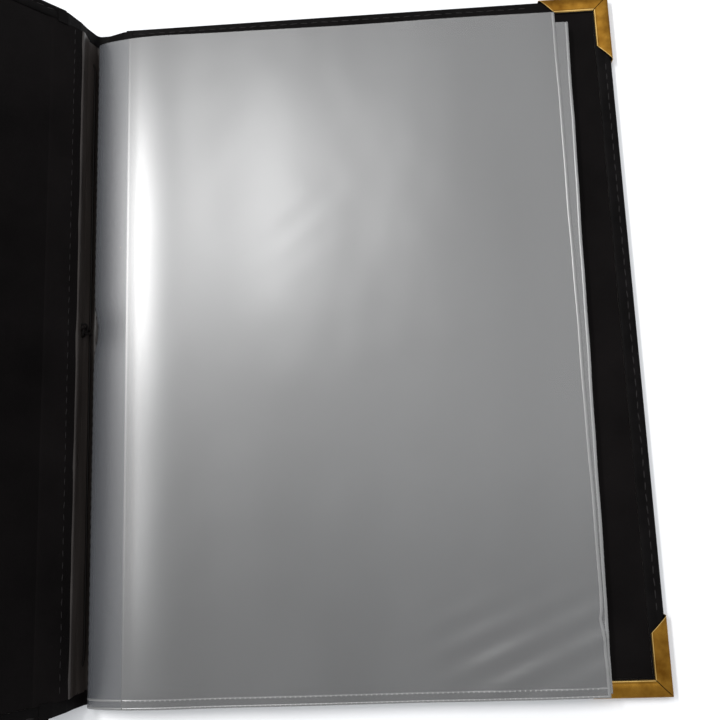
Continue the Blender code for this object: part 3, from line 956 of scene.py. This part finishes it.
def margin_sides(leaf, y):
    """Points of both sides of a leaf's margin at one height of the book."""
    path = np.array(margin_path(leaf, y))
    along = np.gradient(path, axis=0)
    along /= np.linalg.norm(along, axis=1)[:, None]
    out = np.stack([-along[:, 1], along[:, 0]], axis=1) * MARGIN_T / 2
    return [[Vector((p[0], y, p[1])) for p in points] for points in (path + out, path - out)]


def leaf_margin(leaf, mats):
    """The margin as one curved sheet, with the tail's beads running on over it."""
    rows = 62
    upper, lower = [], []
    for r in range(rows):
        outside, inside = margin_sides(leaf, TAIL_Y + LEAF_H * r / (rows - 1))
        upper += outside
        lower += inside
    sheet = (upper + lower, sheet_faces(rows, len(outside)))
    beads = []
    for inset in TAIL_BEADS:
        outside, inside = margin_sides(leaf, TAIL_Y + inset)
        beads.append(bead(outside, Vector((0, -1, 0)), BEAD_W, RIM_T))
    # The margin film is darker and bluer than the pocket film: painted shade and a painted bluish
    # reflection
    groups = [([sheet], mats["margin"]), (beads, mats["weld"])]
    piece = make_mixed(f"leaf_{leaf}_gutter", groups, Matrix.Identity(4))
    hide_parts(f"leaf_{leaf}_margin")
    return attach(piece, "back_cover")


def gutter_stitches(material):
    """The dark sewing through the top margin, just out of the gutter."""
    step = 13
    places = []
    for i in range(int((LEAF_H - 2 * SEWING_END) / SEWING_PITCH)):
        y = TAIL_Y + SEWING_END + SEWING_PITCH * i
        here, ahead = (Vector((x, y, z)) for x, z in margin_path(1, y)[step : step + 2])
        climb = (ahead - here).normalized()
        up = Vector((-climb.z, 0, climb.x))
        places.append((here + up * SEWING_LIFT, Vector((0, 1, 0)), up))
    row = stitch_row("gutter_stitches", places, Matrix.Identity(4), material, SEWING_L, SEWING_W)
    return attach(row, "back_cover")


def dress_leaves(mats):
    """Every leaf with its margin and seam."""
    for leaf in range(1, LEAF_COUNT + 1):
        groups = [
            (leaf_films(leaf), mats["film"]),
            (leaf_rims(leaf), mats["weld"]),
            (seam_pips(leaf), mats["pips"]),
        ]
        pocket = make_mixed(f"leaf_{leaf}_pocket", groups, BACK)
        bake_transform(pocket)
        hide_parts(f"leaf_{leaf}_front_film", f"leaf_{leaf}_back_film")
        leaf_margin(leaf, mats)
    gutter_stitches(mats["cord"])


# Cord


def tube(path, radius, sides=12):
    """Points and faces of a round cord along a path, with rounded ends."""
    verts, faces = [], []
    across = Vector((1.0, 0.0, 0.0))
    for i, point in enumerate(path):
        along = (path[min(i + 1, len(path) - 1)] - path[max(i - 1, 0)]).normalized()
        across = (across - along * across.dot(along)).normalized()
        beside = along.cross(across)
        share = 0.6 if i in (0, len(path) - 1) else 1.0
        for j in range(sides):
            turn = 2 * math.pi * j / sides
            verts.append(point + (across * math.cos(turn) + beside * math.sin(turn)) * radius * share)
    for i in range(len(path) - 1):
        for j in range(sides):
            k = (j + 1) % sides
            faces.append((sides * i + j, sides * i + k, sides * i + sides + k, sides * i + sides + j))
    faces.append(tuple(range(sides - 1, -1, -1)))
    faces.append(tuple(range(len(verts) - sides, len(verts))))
    return verts, faces


def knot_point(turn):
    """A point of the overhand knot in the spine's frame, from the knot's centre."""
    x = KNOT_SIZE * (math.cos(turn) - 2 * math.cos(2 * turn))
    y = KNOT_SIZE * (math.sin(turn) + 2 * math.sin(2 * turn))
    return Vector((x, y, -KNOT_RISE * math.sin(3 * turn)))


def cord_run(knot_end, y_end, steps=60):
    """The straight run of the cord from the knot to its end, which goes down through the strip."""
    run = []
    for i in range(1, steps + 1):
        y = knot_end.y + (y_end - knot_end.y) * i / steps
        near = max(0.0, 1.0 - abs(y_end - y) / CORD_DIVE)
        run.append(Vector((CORD_X, y, knot_end.z - CORD_SINK * near * near)))
    return run


def tie_cord(material, knot_steps=90, bend_steps=10):
    """The cord along the foot of the spine, knotted near the middle."""
    sweep = 2 * math.pi - 2 * KNOT_CUT
    turns = [3 * math.pi - KNOT_CUT - sweep * i / knot_steps for i in range(knot_steps + 1)]
    loop = [knot_point(t) for t in turns]
    first, ahead = loop[0], loop[1] - loop[0]
    heading = math.atan2(ahead.x, ahead.y)
    middle = (first.x + KNOT_BEND * math.cos(heading), first.y - KNOT_BEND * math.sin(heading))
    lead, follow = [], []
    for i in range(bend_steps):
        share = i / bend_steps
        x = middle[0] - KNOT_BEND * math.cos(heading * share)
        y = middle[1] + KNOT_BEND * math.sin(heading * share)
        drop = -KNOT_RISE * (1 - share)
        lead.append(Vector((x, y, first.z * share + drop)))
        follow.append(Vector((x, -y, loop[-1].z * share + drop)))
    base = FLOOR_TOP + GAP + CORD_R
    centre = Vector((CORD_X - lead[0].x, -KNOT_Y, base + KNOT_RISE))
    path = [centre + p for p in lead + loop + follow[::-1]]
    half = HALF_H - CORD_INSET
    before = cord_run(path[0], -half)[::-1]
    after = cord_run(path[-1], half)
    verts, faces = tube(before + path + after, CORD_R)
    piece = make_piece("knotted_cord", moved(verts, SPINE), faces, material, sharp=60)
    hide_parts("tie_cord")
    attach(piece, "spine")


# Stage


def make_stage():
    """A white floor, and a soft world light that is plain white where the camera and reflections see it.
    """
    mesh = bpy.data.meshes.new("floor")
    reach, low = 3, -0.0004
    corners = [(-reach, -reach, low), (reach, -reach, low), (reach, reach, low), (-reach, reach, low)]
    mesh.from_pydata(corners, [], [(0, 1, 2, 3)])
    floor = bpy.data.objects.new("floor", mesh)
    bpy.context.collection.objects.link(floor)
    m = Nodes("floor")
    m.set(Base_Color=(0.90, 0.90, 0.90, 1.0), Roughness=0.9)
    mesh.materials.append(m.material)
    world = bpy.data.worlds.new("studio")
    world.use_nodes = True
    bpy.context.scene.world = world
    tree = world.node_tree
    light = tree.nodes["Background"]
    light.inputs["Color"].default_value = (0.92, 0.95, 1.0, 1.0)
    light.inputs["Strength"].default_value = 0.60
    white = tree.nodes.new("ShaderNodeBackground")
    white.inputs["Strength"].default_value = 1.0
    path = tree.nodes.new("ShaderNodeLightPath")
    seen = path.outputs["Is Camera Ray"]
    for name in ("Is Glossy Ray", "Is Transmission Ray"):
        either = tree.nodes.new("ShaderNodeMath")
        either.operation = "MAXIMUM"
        tree.links.new(seen, either.inputs[0])
        tree.links.new(path.outputs[name], either.inputs[1])
        seen = either.outputs[0]
    mix = tree.nodes.new("ShaderNodeMixShader")
    tree.links.new(seen, mix.inputs["Fac"])
    tree.links.new(light.outputs[0], mix.inputs[1])
    tree.links.new(white.outputs[0], mix.inputs[2])
    tree.links.new(mix.outputs[0], tree.nodes["World Output"].inputs["Surface"])


def area_light(name, place, target, size, power):
    """A soft rectangular lamp aimed at a point, with its second side along the book's height."""
    lamp = bpy.data.lights.new(name, "AREA")
    lamp.shape = "RECTANGLE"
    lamp.size, lamp.size_y = size
    lamp.energy = power
    thing = bpy.data.objects.new(name, lamp)
    back = (Vector(place) - Vector(target)).normalized()
    right = Vector((0.0, 1.0, 0.0)).cross(back).normalized()
    turned = Matrix((right, back.cross(right), back)).transposed().to_4x4()
    turned.translation = place
    thing.matrix_world = turned
    bpy.context.collection.objects.link(thing)


def make_camera():
    """The photograph's view: nearly from above, a little from the tail and the right."""
    right = Vector((0.9977, -0.0365, -0.0576)).normalized()
    back = Vector((0.0509, -0.1641, 0.9851))
    up = back.cross(right).normalized()
    back = right.cross(up)
    data = bpy.data.cameras.new("camera")
    data.lens = 40.0
    data.sensor_width = 36.0
    data.clip_start = 0.01
    camera = bpy.data.objects.new("camera", data)
    place = Matrix((right, up, back)).transposed().to_4x4()
    place.translation = (0.01079, -0.0710, 0.35929)
    camera.matrix_world = place
    bpy.context.collection.objects.link(camera)
    bpy.context.scene.camera = camera


def main():
    """Dresses the book, lights it and sets the view."""
    mats = {
        "leatherette": leatherette(),
        "lining": lining_cloth(),
        "strip": strip_vinyl(),
        "brass": brass("brass", (0.120, 0.051, 0.0055), (0.29, 0.147, 0.021)),
        # Lighter brass for the guards' rims: a painted highlight
        "painted_highlight": brass("brass_painted_rim_highlight", (0.42, 0.26, 0.075), (0.62, 0.42, 0.15)),
        "board": greyboard(),
        "film": clear_film("clear_film", (0.098, 0.099, 0.100), 0.55),
        # Darker, bluer film for the margins in the gutter: painted shade and a painted bluish reflection
        "margin": clear_film("margin_film", (0.084, 0.088, 0.096), 0.56),
        # Welded rims and pips: more opaque film, and their lighter colour is a painted highlight along the
        # welds
        "weld": clear_film("weld", (0.165, 0.165, 0.163), 0.75),
        "pips": clear_film("weld_pips", (0.27, 0.27, 0.265), 0.85),
        "thread": thread("thread", (0.015, 0.0135, 0.0135)),
        "cord": thread("cord", (0.0045, 0.0036, 0.0034)),
    }
    dress_cover("back", "back_cover", BACK_GROOVE, BACK, mats)
    dress_cover("front", "front_cover", FRONT_GROOVE, FRONT, mats)
    soft_spine(mats)
    front_apron(mats)
    dress_leaves(mats)
    tie_cord(mats["cord"])
    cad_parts["binding_strip"].data.materials.clear()
    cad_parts["binding_strip"].data.materials.append(mats["strip"])
    make_stage()
    area_light("window", (-0.66, 0.44, 1.15), (-0.10, 0.05, 0.0), (0.15, 0.42), 5.8)
    area_light("window_below", (-0.66, 0.22, 1.15), (-0.10, 0.0, 0.0), (0.14, 1.00), 4.4)
    area_light("lamp", (-0.220, 0.57, 1.35), (-0.04, 0.08, 0.0), (0.11, 0.44), 3.3)
    area_light("ceiling", (0.25, 0.62, 1.9), (0.0, 0.05, 0.0), (1.8, 1.6), 9.5)
    make_camera()
    bpy.context.scene.view_settings.view_transform = "Standard"


main()
